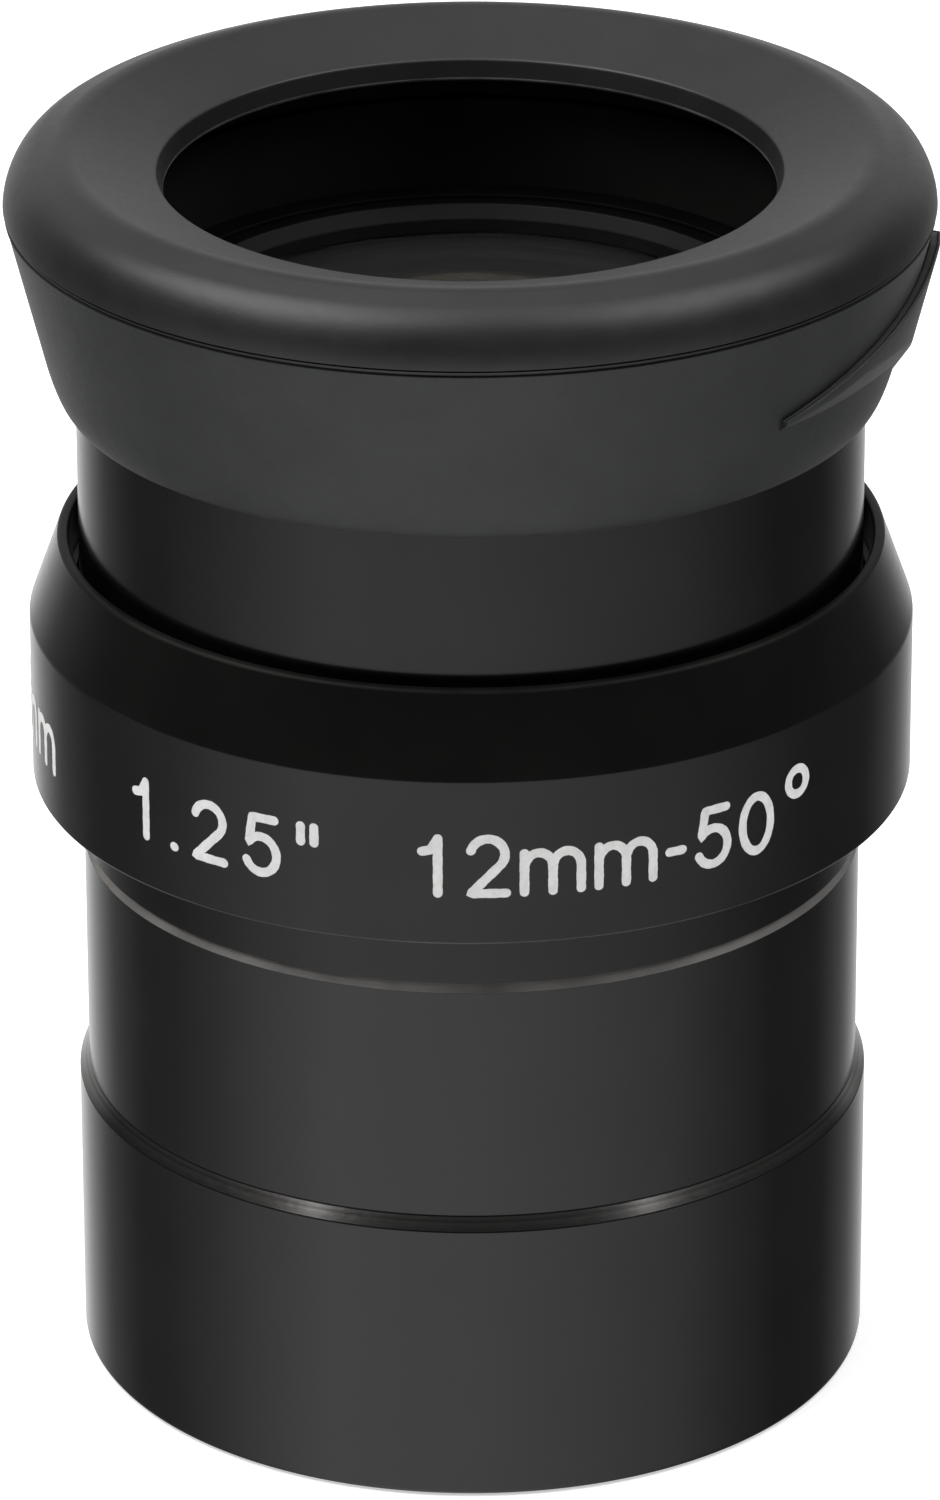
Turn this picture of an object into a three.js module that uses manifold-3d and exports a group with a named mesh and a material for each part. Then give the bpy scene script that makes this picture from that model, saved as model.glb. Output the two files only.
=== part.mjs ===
// A wide-field telescope eyepiece with a 1.25 inch (31.7 mm) barrel, a pull-up sleeve and a rubber eyecup.
// Millimetres, +Z up along the optical axis, -Y the side that carries the engraved figures.
// The origin is the centre of the barrel's open lower end. The sleeve is drawn at the top of its travel.
import * as THREE from "three";
import { mergeVertices } from "three/addons/utils/BufferGeometryUtils.js";
import Module from "manifold-3d";

const wasm = await Module();
wasm.setup();

// ---- Driving dimensions ----

const OUTER_SEGMENTS = 48; // round the turned outer pieces
const INNER_SEGMENTS = 36; // round the rings and cells inside
const LENS_SEGMENTS = 32;
const THREAD_GAP = 0.1; // radial room between two screwed pieces
const CLEARANCE = 0.3; // round a pin in a cut hole or slot
const STACK_GAP = 0.08; // between lenses and spacers that rest on each other
const TURNING_GAP = 0.1; // radial room between the sleeve and the eyecup that turns on it
const END_GAP = 0.15; // room along the axis between the same two

const SLEEVE_TRAVEL = 4.5; // down from the pose drawn

const barrel = {
  radius: 15.85,
  reliefRadius: 15.47, // the wide undercut that a focuser's brass band grips in
  reliefBottom: 12.2,
  reliefChamfer: 0.56,
  edgeBevel: 0.25,
  top: 22.17,
  topChamfer: 0.36,
  filterThreadRadius: 14.25, // the major radius of an M28.5 filter thread
  filterThreadDepth: 5.2,
  landRadius: 13.7,
  landTop: 7.0,
  cellBoreRadius: 14.2,
  cellBoreTop: 16.4,
  socketRadius: 14.95,
};

const body = {
  spigotBottom: 18.4,
  neckBottom: 22.22,
  neckRadius: barrel.reliefRadius,
  wallBottom: 24.8,
  wallRadius: 17.46,
  wallTop: 31.58,
  lipZ: 34.89,
  lipOuterRadius: 16.26,
  wellRadius: 15.86,
  wellFloor: 26.15,
  housingBoreRadius: 14.05,
  edgeBevel: 0.15,
  ringGrooveRadius: 16.36,
  ringGrooveBottom: 31.5,
  ringGrooveTop: 33.1,
};

const housing = {
  radius: 13.95,
  bottom: 18.5,
  top: 43.9,
  boreRadius: 12.75,
  shoulderZ: 25.5,
  throatRadius: 11.3,
  edgeBevel: 0.2,
};

const sleeve = {
  radius: 15.46,
  boreRadius: 14.35,
  bottom: 30.75,
  top: 47.4,
  stopRadius: 15.74,
  stopHeight: 0.65,
  beadGrooveRadius: 15.06,
  beadGrooveBottom: 44.0,
  beadGrooveTop: 45.4,
  edgeBevel: 0.2,
};

const eyecup = {
  openingRadius: 12.16,
  openingZ: 49.87,
  lipInnerRadius: 11.85,
  lipThickness: 0.82,
  crestRadius: 15.74, // highest ring
  crestZ: 51.05,
  shoulderRadius: 16.83, // where the slope outside the crest starts to bend down
  shoulderZ: 50.66,
  shoulderPull: 1.08, // how far the bend follows that slope
  rimRadius: 18.12, // widest ring, on the mould's parting line
  rimZ: 48.62,
  rimPull: 0.41, // how far the bend follows the rim's upright
  skirtFootRadius: 16.41,
  skirtFootZ: 41.73,
  bottom: 40.98,
  footWidth: 0.4, // of the flat ring under the skirt
  boreRadius: sleeve.radius + TURNING_GAP,
  cavityRadius: 14.5, // the hollow between the lip and the sleeve's end
  cavityTop: 48.75,
  seatZ: sleeve.top + END_GAP,
  beadRadius: sleeve.beadGrooveRadius + TURNING_GAP, // the inner bead that snaps into the sleeve's groove
  beadBevel: 0.2,
};

const wing = {
  startDeg: 43.5, // measured from -Y towards +X
  stepDeg: 4.5,
  riseDeg: 40.5, // it grows to its full height over this angle,
  peakDeg: 4.5, // keeps it over this one
  fallDeg: 27, // and drops back to its other tip over this one
  tipFootZ: 43.8,
  tipTopZ: 44.3,
  footZ: 42.0,
  topZ: 47.35,
  proud: 0.46,
  tipProud: 0.3,
  footSlope: 1.1, // height over which its face leaves the skirt
  embed: 0.35,
  footEmbed: 0.03,
};

const lensRadius = housing.boreRadius - THREAD_GAP;
const eyeLens = { rimBottom: 40.6, rimTop: 42.45, sagBottom: 1.5, sagTop: 1.0 };
const middleLens = { rimBottom: 35.0, rimTop: 37.0, sagBottom: 0, sagTop: 1.4 };
const crown = { rimBottom: 32.35, rimTop: 33.2, sagBottom: 3.0, sagTop: 1.25 };
const flint = { rimBottom: 27.6, rimTop: crown.rimBottom - STACK_GAP, sagBottom: 0, sagTop: -3.0 };

const lowerCell = { radius: 14.1, bottom: 7.1, top: 15.9, boreRadius: 9.6, seatZ: 13.6, throatRadius: 8.6 };
const cellRing = { innerRadius: 8.2, bottom: 7.7 };
const lowerLensRadius = lowerCell.boreRadius - THREAD_GAP;
const lowerRear = { rimBottom: 11.6, rimTop: lowerCell.seatZ - STACK_GAP, sagBottom: 0.9, sagTop: -0.7 };
const lowerFront = { rimBottom: 9.5, rimTop: lowerRear.rimBottom - STACK_GAP, sagBottom: -0.8, sagTop: -0.9 };

const fieldStop = { radius: 6.2, bottom: 20.4, thickness: 1.0, edge: 0.25 };
const retainer = { innerRadius: 11.5, mouthRadius: 11.95, mouthDepth: 0.5 };
const spacerInnerRadius = 11.6;
const guideScrew = { shankRadius: 0.5, headRadius: 1.0, headReach: 14.72, z: 34.0 };
const keywayRadius = 14.98; // how deep the sleeve's two inner keyways are cut
const glideRing = { innerRadius: 15.53, splitWidth: 1.6 };

// ---- Materials ----

const anodised = { color: 0x0c0c0d, roughness: 0.32, metalness: 0.85 };
const matteBlack = { color: 0x090909, roughness: 0.75, metalness: 0.4 };
const rubber = { color: 0x1d1e20, roughness: 0.62, metalness: 0 };
const nylon = { color: 0x1a1a1a, roughness: 0.5, metalness: 0 };
const glass = { color: 0xb8c8d8, roughness: 0.03, metalness: 0, transparent: true, opacity: 0.35 };
const steel = { color: 0x6f7175, roughness: 0.35, metalness: 1 };

// ---- Geometry helpers ----

// A turned piece, from [radius, z] points that run up its outside and down its inside. The points of a
// piece without a bore start and end on the axis.
function turned(profile, segments = OUTER_SEGMENTS) {
  const points = profile.map(([radius, z]) => new THREE.Vector2(radius, z));
  if (profile[0][0] > 0) points.push(points[0].clone());
  return new THREE.LatheGeometry(points, segments).rotateX(Math.PI / 2);
}

// A plain ring with a rectangular section.
function ring(innerRadius, outerRadius, bottom, top, segments = INNER_SEGMENTS) {
  return turned(
    [
      [innerRadius, bottom],
      [outerRadius, bottom],
      [outerRadius, top],
      [innerRadius, top],
    ],
    segments,
  );
}

function solidOf(geometry) {
  const plain = new THREE.BufferGeometry();
  plain.setAttribute("position", geometry.getAttribute("position"));
  if (geometry.index) plain.setIndex(geometry.index);
  const merged = mergeVertices(plain, 1e-4);
  return new wasm.Manifold(
    new wasm.Mesh({
      numProp: 3,
      vertProperties: new Float32Array(merged.attributes.position.array),
      triVerts: new Uint32Array(merged.index.array),
    }),
  );
}

function geometryOf(solid) {
  const mesh = solid.getMesh();
  const geometry = new THREE.BufferGeometry();
  geometry.setAttribute("position", new THREE.BufferAttribute(mesh.vertProperties, 3));
  geometry.setIndex(new THREE.BufferAttribute(mesh.triVerts, 1));
  geometry.computeVertexNormals();
  return geometry;
}

// Height above its rim, at radius r, of a spherical lens face whose apex stands `sag` above the rim.
function faceHeight(radius, sag, r) {
  if (sag === 0) return 0;
  const sphere = (radius * radius + sag * sag) / (2 * Math.abs(sag));
  const drop = sphere - Math.sqrt(sphere * sphere - r * r);
  return sag - Math.sign(sag) * drop;
}

// Points of a lens face from the axis out to the rim.
function lensFace(radius, rimZ, sag) {
  const steps = sag === 0 ? 1 : 4;
  return Array.from({ length: steps + 1 }, (_, i) => {
    const r = (radius * i) / steps;
    return [r, rimZ + faceHeight(radius, sag, r)];
  });
}

// sagTop and sagBottom are positive where the face bulges out of the glass.
function lens(radius, { rimBottom, rimTop, sagBottom, sagTop }) {
  const bottom = lensFace(radius, rimBottom, -sagBottom);
  const top = lensFace(radius, rimTop, sagTop).reverse();
  return turned([...bottom, ...top], LENS_SEGMENTS);
}

// A straight pin along X at the height of `z`, from radius `from` to radius `to` on the +X side.
function radialPin(pinRadius, from, to, z) {
  return new THREE.CylinderGeometry(pinRadius, pinRadius, to - from, 16)
    .rotateZ(Math.PI / 2)
    .translate((from + to) / 2, 0, z);
}

const mirrored = (geometry) => geometry.clone().rotateZ(Math.PI);

// ---- Fixed pieces: barrel, body and lens housing ----

function barrelTube() {
  const b = barrel;
  return turned([
    [b.filterThreadRadius + b.edgeBevel, 0],
    [b.radius - b.edgeBevel, 0],
    [b.radius, b.edgeBevel],
    [b.radius, b.reliefBottom - b.reliefChamfer],
    [b.reliefRadius, b.reliefBottom],
    [b.reliefRadius, b.top - b.topChamfer],
    [b.reliefRadius - b.topChamfer, b.top],
    [b.socketRadius, b.top],
    [b.socketRadius, b.cellBoreTop],
    [b.cellBoreRadius, b.cellBoreTop],
    [b.cellBoreRadius, b.landTop],
    [b.landRadius, b.landTop],
    [b.landRadius, b.filterThreadDepth],
    [b.filterThreadRadius, b.filterThreadDepth],
    [b.filterThreadRadius, b.edgeBevel],
  ]);
}

function mainBody() {
  const b = body;
  return turned([
    [b.housingBoreRadius, b.spigotBottom],
    [barrel.socketRadius - THREAD_GAP, b.spigotBottom],
    [barrel.socketRadius - THREAD_GAP, b.neckBottom],
    [b.neckRadius, b.neckBottom],
    [b.neckRadius, b.wallBottom],
    [b.wallRadius - b.edgeBevel, b.wallBottom],
    [b.wallRadius, b.wallBottom + b.edgeBevel],
    [b.wallRadius, b.wallTop],
    [b.lipOuterRadius, b.lipZ],
    [b.wellRadius, b.lipZ],
    [b.wellRadius, b.ringGrooveTop],
    [b.ringGrooveRadius, b.ringGrooveTop],
    [b.ringGrooveRadius, b.ringGrooveBottom],
    [b.wellRadius, b.ringGrooveBottom],
    [b.wellRadius, b.wellFloor],
    [b.housingBoreRadius, b.wellFloor],
  ]);
}

function guideScrewGeometry() {
  const g = guideScrew;
  const headSeat = housing.radius + THREAD_GAP;
  const shank = radialPin(g.shankRadius, lensRadius + CLEARANCE, headSeat + THREAD_GAP, g.z);
  const head = radialPin(g.headRadius, headSeat, g.headReach, g.z);
  return geometryOf(solidOf(shank).add(solidOf(head)));
}

function lensHousing() {
  const h = housing;
  const tube = turned(
    [
      [h.throatRadius, h.bottom],
      [h.radius, h.bottom],
      [h.radius, h.top - h.edgeBevel],
      [h.radius - h.edgeBevel, h.top],
      [h.boreRadius, h.top],
      [h.boreRadius, h.shoulderZ],
      [h.throatRadius, h.shoulderZ],
    ],
    INNER_SEGMENTS,
  );
  const past = 1; // the drill runs this far past both faces of the wall
  const holeRadius = guideScrew.shankRadius + CLEARANCE;
  const hole = radialPin(holeRadius, h.boreRadius - past, h.radius + past, guideScrew.z);
  return geometryOf(solidOf(tube).subtract(solidOf(hole)).subtract(solidOf(mirrored(hole))));
}

function splitGlideRing() {
  const bottom = body.ringGrooveBottom + STACK_GAP;
  const top = body.ringGrooveTop - STACK_GAP;
  const outer = body.ringGrooveRadius - THREAD_GAP;
  const whole = ring(glideRing.innerRadius, outer, bottom, top, OUTER_SEGMENTS);
  const cutSize = 4; // wider than the ring's section both ways
  const split = new THREE.BoxGeometry(glideRing.splitWidth, cutSize, cutSize);
  split.translate(0, outer, (bottom + top) / 2);
  return geometryOf(solidOf(whole).subtract(solidOf(split)));
}

// ---- Optics, their spacers and rings ----

// Lowest level at which a ring of this inner radius can stand on the upper face of an upper-group lens.
const restOn = (lower, r) => lower.rimTop + faceHeight(lensRadius, lower.sagTop, r) + STACK_GAP;

// Highest level at which such a ring can carry the lower face of the lens above it.
const restUnder = (upper, r) => upper.rimBottom - faceHeight(lensRadius, upper.sagBottom, r) - STACK_GAP;

function spacerBetween(bottom, top) {
  return ring(spacerInnerRadius, lensRadius, bottom, top);
}

function eyeLensRetainer() {
  const r = retainer;
  const bottom = restOn(eyeLens, r.innerRadius);
  const top = housing.top - 0.1;
  return turned(
    [
      [r.innerRadius, bottom],
      [lensRadius, bottom],
      [lensRadius, top],
      [r.mouthRadius, top],
      [r.innerRadius, top - r.mouthDepth],
    ],
    INNER_SEGMENTS,
  );
}

function fieldStopRing() {
  const outer = housing.throatRadius - THREAD_GAP;
  const f = fieldStop;
  return turned(
    [
      [f.radius, f.bottom],
      [outer, f.bottom],
      [outer, f.bottom + f.thickness],
      [f.radius + f.thickness - f.edge, f.bottom + f.thickness],
      [f.radius, f.bottom + f.edge],
    ],
    INNER_SEGMENTS,
  );
}

function lowerLensCell() {
  const c = lowerCell;
  return turned(
    [
      [c.boreRadius, c.bottom],
      [c.radius, c.bottom],
      [c.radius, c.top],
      [c.throatRadius, c.top],
      [c.throatRadius, c.seatZ],
      [c.boreRadius, c.seatZ],
    ],
    INNER_SEGMENTS,
  );
}

// ---- Sleeve and eyecup ----

function sleeveTube() {
  const s = sleeve;
  const tube = turned([
    [s.boreRadius, s.bottom],
    [s.stopRadius, s.bottom],
    [s.stopRadius, s.bottom + s.stopHeight],
    [s.radius, s.bottom + s.stopHeight],
    [s.radius, s.beadGrooveBottom],
    [s.beadGrooveRadius, s.beadGrooveBottom],
    [s.beadGrooveRadius, s.beadGrooveTop],
    [s.radius, s.beadGrooveTop],
    [s.radius, s.top - s.edgeBevel],
    [s.radius - s.edgeBevel, s.top],
    [s.boreRadius, s.top],
  ]);
  const half = guideScrew.headRadius + CLEARANCE;
  const width = 2 * half;
  const height = SLEEVE_TRAVEL + width;
  const depth = 3; // reaches well inside the bore
  const keyway = new THREE.BoxGeometry(depth, width, height);
  keyway.translate(keywayRadius - depth / 2, 0, guideScrew.z - half + height / 2);
  return geometryOf(solidOf(tube).subtract(solidOf(keyway)).subtract(solidOf(mirrored(keyway))));
}

// Radius of the skirt's cone at height z.
function skirtRadius(z) {
  const e = eyecup;
  const share = (z - e.skirtFootZ) / (e.rimZ - e.skirtFootZ);
  return e.skirtFootRadius + share * (e.rimRadius - e.skirtFootRadius);
}

// The rolled rim: a bend from the widest ring up to the shoulder, then the slope up to the crest.
function rolledRim(steps) {
  const e = eyecup;
  const crest = new THREE.Vector2(e.crestRadius, e.crestZ);
  const shoulder = new THREE.Vector2(e.shoulderRadius, e.shoulderZ);
  const slope = shoulder.clone().sub(crest).normalize();
  const bend = new THREE.CubicBezierCurve(
    new THREE.Vector2(e.rimRadius, e.rimZ),
    new THREE.Vector2(e.rimRadius, e.rimZ + e.rimPull),
    shoulder.clone().addScaledVector(slope, e.shoulderPull),
    shoulder,
  );
  return [...bend.getPoints(steps), crest].map((point) => [point.x, point.y]);
}

// One section of the wing, as [radius, z] points, at a share from 0 at its tip to 1 at full height.
function wingSection(share) {
  const w = wing;
  const foot = w.tipFootZ - (w.tipFootZ - w.footZ) * share ** 4;
  const top = w.tipTopZ + (w.topZ - w.tipTopZ) * share;
  const proud = w.tipProud + (w.proud - w.tipProud) * share;
  const slope = Math.min(w.footSlope, 0.6 * (top - foot));
  return [
    [skirtRadius(foot) - w.embed, foot],
    [skirtRadius(foot) - w.footEmbed, foot],
    [skirtRadius(foot + slope) + proud, foot + slope],
    [skirtRadius(top) + proud, top],
    [skirtRadius(top) - w.embed, top],
  ];
}

// The raised leaf on one side of the skirt: wingSection swept round the axis and capped at both tips.
function wingGeometry() {
  const w = wing;
  const endDeg = w.startDeg + w.riseDeg + w.peakDeg + w.fallDeg;
  const steps = Math.round((endDeg - w.startDeg) / w.stepDeg);
  const sections = Array.from({ length: steps + 1 }, (_, i) => {
    const deg = w.startDeg + w.stepDeg * i;
    const share = Math.min(1, (deg - w.startDeg) / w.riseDeg, (endDeg - deg) / w.fallDeg);
    const angle = THREE.MathUtils.degToRad(deg);
    return wingSection(share).map(([r, z]) => [r * Math.sin(angle), -r * Math.cos(angle), z]);
  });
  const count = sections[0].length;
  const index = [];
  for (let i = 0; i < steps; i++) {
    for (let j = 0; j < count; j++) {
      const a = i * count + j;
      const b = i * count + ((j + 1) % count);
      index.push(a, a + count, b, b, a + count, b + count);
    }
  }
  for (let j = 1; j < count - 1; j++) {
    const last = steps * count;
    index.push(0, j, j + 1, last, last + j + 1, last + j);
  }
  const geometry = new THREE.BufferGeometry();
  geometry.setAttribute("position", new THREE.Float32BufferAttribute(sections.flat(2), 3));
  geometry.setIndex(index);
  return geometry;
}

function rubberEyecup() {
  const e = eyecup;
  const s = sleeve;
  const grooveBottom = s.beadGrooveBottom + END_GAP;
  const grooveTop = s.beadGrooveTop - END_GAP;
  const footEdge = e.boreRadius + e.footWidth;
  const footBulge = 0.7; // how full the rounding under the skirt is: 0.5 would be a straight bevel
  const footRadius = footEdge + footBulge * (e.skirtFootRadius - footEdge);
  const footZ = e.bottom + (1 - footBulge) * (e.skirtFootZ - e.bottom);
  const cup = turned([
    [e.boreRadius, e.bottom],
    [footEdge, e.bottom],
    [footRadius, footZ],
    [e.skirtFootRadius, e.skirtFootZ],
    ...rolledRim(7),
    [e.openingRadius, e.openingZ],
    [e.lipInnerRadius, e.openingZ - e.lipThickness],
    [e.cavityRadius, e.cavityTop],
    [e.cavityRadius, e.seatZ],
    [e.boreRadius, e.seatZ],
    [e.boreRadius, grooveTop],
    [e.beadRadius, grooveTop - e.beadBevel],
    [e.beadRadius, grooveBottom + e.beadBevel],
    [e.boreRadius, grooveBottom],
  ]);
  return geometryOf(solidOf(cup).add(solidOf(wingGeometry())));
}

// ---- Assembly ----

function part(group, name, geometry, finish) {
  const mesh = new THREE.Mesh(geometry, new THREE.MeshStandardMaterial(finish));
  mesh.name = name;
  group.add(mesh);
}

function fixedAssembly() {
  const group = new THREE.Group();
  part(group, "barrel", barrelTube(), anodised);
  part(group, "main_body", mainBody(), anodised);
  part(group, "lens_housing", lensHousing(), matteBlack);
  part(group, "glide_ring", splitGlideRing(), nylon);
  part(group, "guide_screw_right", guideScrewGeometry(), steel);
  part(group, "guide_screw_left", mirrored(guideScrewGeometry()), steel);

  part(group, "lower_lens_cell", lowerLensCell(), matteBlack);
  const cellRingTop = lowerFront.rimBottom - STACK_GAP;
  const lowerRing = ring(cellRing.innerRadius, lowerLensRadius, cellRing.bottom, cellRingTop);
  part(group, "lower_lens_retaining_ring", lowerRing, matteBlack);
  part(group, "lower_lens_front", lens(lowerLensRadius, lowerFront), glass);
  part(group, "lower_lens_rear", lens(lowerLensRadius, lowerRear), glass);
  part(group, "field_stop", fieldStopRing(), matteBlack);

  const r = spacerInnerRadius;
  const doubletSpacer = spacerBetween(housing.shoulderZ + STACK_GAP, restUnder(flint, r));
  part(group, "doublet_spacer", doubletSpacer, matteBlack);
  part(group, "doublet_flint", lens(lensRadius, flint), glass);
  part(group, "doublet_crown", lens(lensRadius, crown), glass);
  part(group, "middle_lens_spacer", spacerBetween(restOn(crown, r), restUnder(middleLens, r)), matteBlack);
  part(group, "middle_lens", lens(lensRadius, middleLens), glass);
  part(group, "eye_lens_spacer", spacerBetween(restOn(middleLens, r), restUnder(eyeLens, r)), matteBlack);
  part(group, "eye_lens", lens(lensRadius, eyeLens), glass);
  part(group, "eye_lens_retaining_ring", eyeLensRetainer(), matteBlack);
  return group;
}

function movingAssembly() {
  const group = new THREE.Group();
  part(group, "sleeve", sleeveTube(), anodised);
  part(group, "rubber_eyecup", rubberEyecup(), rubber);
  return group;
}

const eyepiece = new THREE.Group();
eyepiece.add(fixedAssembly(), movingAssembly());

export default eyepiece;
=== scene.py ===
"""A 1.25 inch telescope eyepiece on a pale studio floor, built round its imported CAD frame.

Metres, +Z up along the optical axis, the engraved figures on the -Y side. Outlines are written in millimetres
and turned into metres where a mesh is made. Azimuths run from -Y towards +X.
"""

import math

import bpy
from mathutils import Matrix, Vector
from mathutils.geometry import interpolate_bezier


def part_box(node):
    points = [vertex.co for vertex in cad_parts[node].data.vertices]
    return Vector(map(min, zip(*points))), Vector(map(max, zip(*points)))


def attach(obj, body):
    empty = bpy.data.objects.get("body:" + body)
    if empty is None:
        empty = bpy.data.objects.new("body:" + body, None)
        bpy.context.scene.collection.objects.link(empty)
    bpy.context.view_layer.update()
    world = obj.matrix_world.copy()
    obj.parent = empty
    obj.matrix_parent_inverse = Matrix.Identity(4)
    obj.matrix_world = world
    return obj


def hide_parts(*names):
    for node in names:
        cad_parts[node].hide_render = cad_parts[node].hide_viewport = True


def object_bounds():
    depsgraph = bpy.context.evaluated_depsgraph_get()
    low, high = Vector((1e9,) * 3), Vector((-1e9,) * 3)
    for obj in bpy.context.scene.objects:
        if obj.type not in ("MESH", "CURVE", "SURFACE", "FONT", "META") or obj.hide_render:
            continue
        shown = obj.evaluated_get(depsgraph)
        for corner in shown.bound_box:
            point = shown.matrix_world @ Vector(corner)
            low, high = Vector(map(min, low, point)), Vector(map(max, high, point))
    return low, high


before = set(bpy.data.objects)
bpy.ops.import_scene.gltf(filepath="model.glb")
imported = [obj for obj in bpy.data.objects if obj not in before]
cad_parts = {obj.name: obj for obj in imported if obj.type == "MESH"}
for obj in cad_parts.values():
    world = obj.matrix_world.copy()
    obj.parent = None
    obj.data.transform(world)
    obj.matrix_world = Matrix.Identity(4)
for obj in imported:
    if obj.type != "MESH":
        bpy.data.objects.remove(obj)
cad_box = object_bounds()

MM = 0.001
FIXED = "eyepiece_body"
SLIDING = "sliding_sleeve"
TURNING = "turning_eyecup"


# ---- Dimensions, in millimetres ----


def extent(node):
    """Outer radius, lowest level and highest level of a CAD node, in millimetres."""
    low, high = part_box(node)
    return high.x / MM, low.z / MM, high.z / MM


BARREL_RADIUS, BARREL_BOTTOM, BARREL_TOP = extent("barrel")
WALL_RADIUS, SPIGOT_BOTTOM, LIP_Z = extent("main_body")
HOUSING_RADIUS, HOUSING_BOTTOM, HOUSING_TOP = extent("lens_housing")
SLEEVE_STOP_RADIUS, SLEEVE_BOTTOM, SLEEVE_TOP = extent("sleeve")
CUP_FOOT_Z, CUP_CREST_Z = extent("rubber_eyecup")[1:]
CELL_RADIUS, CELL_BOTTOM, CELL_TOP = extent("lower_lens_cell")
CELL_RING_RADIUS, CELL_RING_BOTTOM, CELL_RING_TOP = extent("lower_lens_retaining_ring")
STOP_RING_RADIUS, STOP_RING_BOTTOM, STOP_RING_TOP = extent("field_stop")
RETAINER_RADIUS, RETAINER_BOTTOM, RETAINER_TOP = extent("eye_lens_retaining_ring")
GLIDE_RADIUS, GLIDE_BOTTOM, GLIDE_TOP = extent("glide_ring")

SEGMENTS = 240  # round each turned piece
EDGE = 0.08  # how far from a turned corner its rounding starts
NEARLY_STRAIGHT = math.radians(88)  # half the angle at a corner too flat to round

# Barrel
RELIEF_RADIUS = 15.47  # the wide undercut that a focuser's brass band grips in
RELIEF_BOTTOM = 12.2
RELIEF_CHAMFER = 0.56
SEAM_CHAMFER = 0.36  # at the barrel's top, under the collar's neck
THREAD_MAJOR = 14.25
THREAD_MINOR = 13.95
THREAD_PITCH = 0.6
THREAD_START = 0.5
THREAD_TURNS = 7
LAND_RADIUS = 13.7
LAND_TOP = 7.0
SOCKET_RADIUS = 14.95
SOCKET_BOTTOM = 16.4

# Collar
NECK_BOTTOM = 22.22
WALL_BOTTOM = 24.8
WALL_TOP = 31.58
LIP_OUTER_RADIUS = 16.26
WELL_RADIUS = 15.86
WELL_FLOOR = 26.15
HOUSING_SEAT_RADIUS = 14.05
THREAD_GAP = 0.1

# Sleeve
SLEEVE_RADIUS = 15.46
SLEEVE_BORE = 14.35
STOP_HEIGHT = 0.65

# Rubber eyecup
OPENING_RADIUS = 12.16
OPENING_Z = 49.87
LIP_INNER_RADIUS = 11.85
LIP_THICKNESS = 0.82
CREST_RADIUS = 15.74
SHOULDER_RADIUS = 16.83  # where the slope outside the crest starts to bend down
SHOULDER_Z = 50.66
SHOULDER_PULL = 1.08  # how far the bend follows that slope
RIM_RADIUS = 18.12  # widest ring, on the mould's parting line
RIM_Z = 48.62
RIM_PULL = 0.41  # how far the bend follows the rim's upright
PARTING_BAND = 0.26  # height between the two edges at the mould's parting line
SKIRT_FOOT_RADIUS = 16.41
SKIRT_FOOT_Z = 41.73
FOOT_WIDTH = 0.3  # flat ring under the skirt's foot
FOOT_CORNER_Z = 41.0  # level of the skirt's slope that the foot's rounding aims at
FOOT_BEND_TOP = 42.5
CAVITY_RADIUS = 14.5
CAVITY_TOP = 48.75
CUP_BORE = 15.56
SEAT_GAP = 0.15

# Wing on the skirt
WING_START_DEG = 43.5
WING_RISE_DEG = 40.5  # it grows to its full height over this angle,
WING_PEAK_DEG = 4.5  # keeps it over this one
WING_FALL_DEG = 27  # and drops back to its other tip over this one
WING_STEP_DEG = 0.75
WING_TIP_FOOT_Z = 43.8
WING_TIP_TOP_Z = 44.3
WING_FOOT_Z = 42.0
WING_TOP_Z = 47.35
WING_PROUD = 0.46
WING_TIP_PROUD = 0.3
WING_FOOT_SLOPE = 1.1
WING_EMBED = 0.35
WING_SLIT = 0.14  # depth of the slit between the wing's free edge and the skirt
WING_GROOVE = 0.1  # depth of the groove along the free edge

# Optics: (node, radius, rim bottom, rim top, bulge below, bulge above)
UPPER_LENS_RADIUS = 12.65
LOWER_LENS_RADIUS = 9.5
LENSES = (
    ("eye_lens", UPPER_LENS_RADIUS, 40.6, 42.45, 1.5, 1.0),
    ("middle_lens", UPPER_LENS_RADIUS, 35.0, 37.0, 0, 1.4),
    ("doublet_crown", UPPER_LENS_RADIUS, 32.35, 33.2, 3.0, 1.25),
    ("doublet_flint", UPPER_LENS_RADIUS, 27.6, 32.27, 0, -3.0),
    ("lower_lens_rear", LOWER_LENS_RADIUS, 11.6, 13.52, 0.9, -0.7),
    ("lower_lens_front", LOWER_LENS_RADIUS, 9.5, 11.52, -0.8, -0.9),
)
SPACERS = ("doublet_spacer", "middle_lens_spacer", "eye_lens_spacer")
SPACER_BORE = 11.6
HOUSING_BORE = 12.75
HOUSING_SHOULDER_Z = 25.5
HOUSING_THROAT = 11.3
RETAINER_BORE = 11.5
RETAINER_MOUTH = 11.95
RETAINER_MOUTH_DEPTH = 0.5
CELL_BORE = 9.6
CELL_SEAT_Z = 13.6
CELL_THROAT = 8.6
CELL_RING_BORE = 8.2
STOP_RING_BORE = 6.2
GLIDE_BORE = 15.53
GLIDE_SPLIT = 1.6

# Figures on the collar
FIGURE_HEIGHT = 2.28  # between the stroke centres at the foot and the head of a figure
FIGURE_FOOT_Z = WALL_BOTTOM + 2.19
STROKE_WIDTH = 0.37
STROKE_PROUD = 0.012
STROKE_ROOT = 0.03  # how deep a stroke's sides reach into the wall
LETTER_GAP = 0.7


# ---- Outlines ----


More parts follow.
